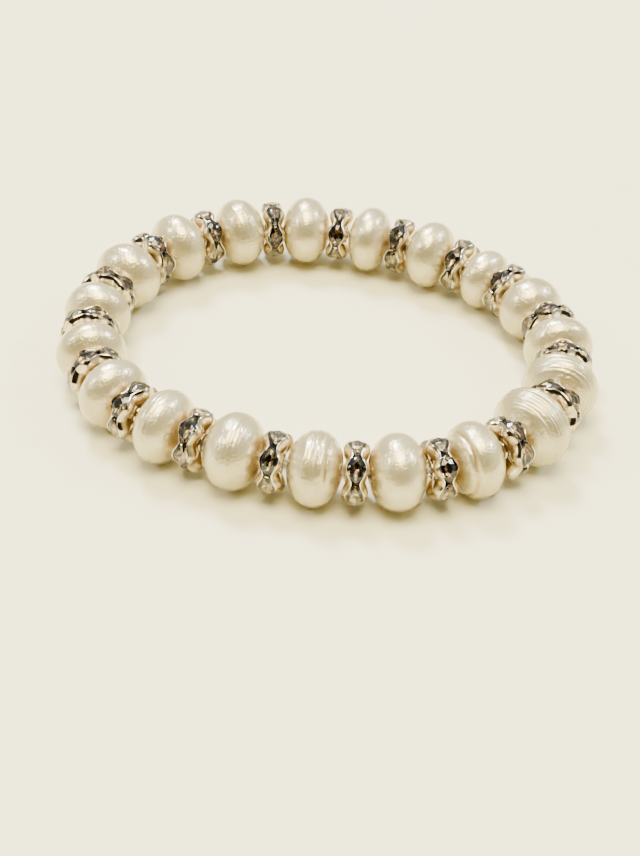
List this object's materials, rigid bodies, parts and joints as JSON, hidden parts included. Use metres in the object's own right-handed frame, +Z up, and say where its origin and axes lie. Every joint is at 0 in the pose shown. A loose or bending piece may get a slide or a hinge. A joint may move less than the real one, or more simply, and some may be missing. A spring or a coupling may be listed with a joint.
{
  "type": "pearl bracelet",
  "caption": "Closed stretch bracelet of freshwater pearls alternating with wavy silver rhinestone rondelles on a hidden elastic, lying as a slightly oval loop.",
  "frame": {"origin": "on the ground, at the middle of the loop's outline seen from above", "axes": "+Z up, square to the loop's plane; +X along the oval's longer width; the picture's side is -Y"},
  "size_m": [0.0744, 0.0664, 0.0109],
  "materials": {
    "nacre": "high lustre cream nacre, ringed or wrinkled on some pearls",
    "silver_plate": "bright polished silver plating, darker in the necks between stones",
    "rhinestone": "clear faceted foil-backed glass stones, fused to each rondelle",
    "elastic": "clear stretch cord"
  },
  "bodies": {
    "root": {"elastic_cord": "elastic", "pearl_01": "nacre", "pearl_02": "nacre", "pearl_03": "nacre", "pearl_04": "nacre", "pearl_05": "nacre", "pearl_06": "nacre", "pearl_07": "nacre", "pearl_08": "nacre", "pearl_09": "nacre", "pearl_10": "nacre", "pearl_11": "nacre", "pearl_12": "nacre", "pearl_13": "nacre", "pearl_14": "nacre", "pearl_15": "nacre", "pearl_16": "nacre", "pearl_17": "nacre", "pearl_18": "nacre", "pearl_19": "nacre", "rondelle_01": "silver_plate", "rondelle_02": "silver_plate", "rondelle_03": "silver_plate", "rondelle_04": "silver_plate", "rondelle_05": "silver_plate", "rondelle_06": "silver_plate", "rondelle_07": "silver_plate", "rondelle_08": "silver_plate", "rondelle_09": "silver_plate", "rondelle_10": "silver_plate", "rondelle_11": "silver_plate", "rondelle_12": "silver_plate", "rondelle_13": "silver_plate", "rondelle_14": "silver_plate", "rondelle_15": "silver_plate", "rondelle_16": "silver_plate", "rondelle_17": "silver_plate", "rondelle_18": "silver_plate", "rondelle_19": "silver_plate"}
  },
  "joints": []
}
